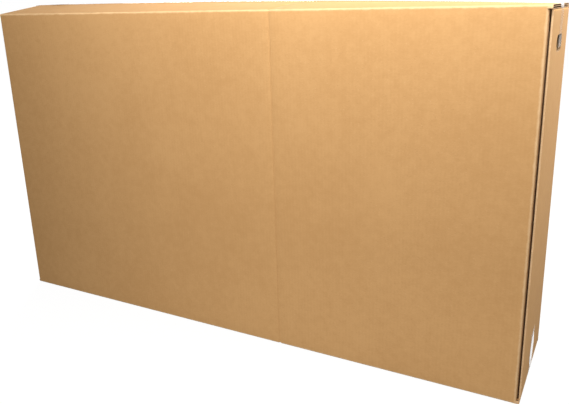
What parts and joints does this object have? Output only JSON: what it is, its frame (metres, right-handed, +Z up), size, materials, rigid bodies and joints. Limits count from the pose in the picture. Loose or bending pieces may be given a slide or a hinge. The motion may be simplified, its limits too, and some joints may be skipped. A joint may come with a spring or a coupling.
{
  "type": "flat packing box",
  "caption": "Tall, narrow shipping carton of brown corrugated board, closed by clear tape, with a hand hole in each end and a crease down each long side.",
  "frame": {"origin": "middle of the base, on the surface that the box stands on", "axes": "+Z up, X along the box's length, front panel facing -Y"},
  "size_m": [1.3014, 0.26, 0.7516],
  "materials": {
    "kraft_board": "matt kraft liner",
    "clear_tape": "clear glossy film"
  },
  "bodies": {
    "root": {"carton": "kraft_board", "top_tape": "clear_tape", "bottom_tape": "clear_tape"}
  },
  "joints": []
}
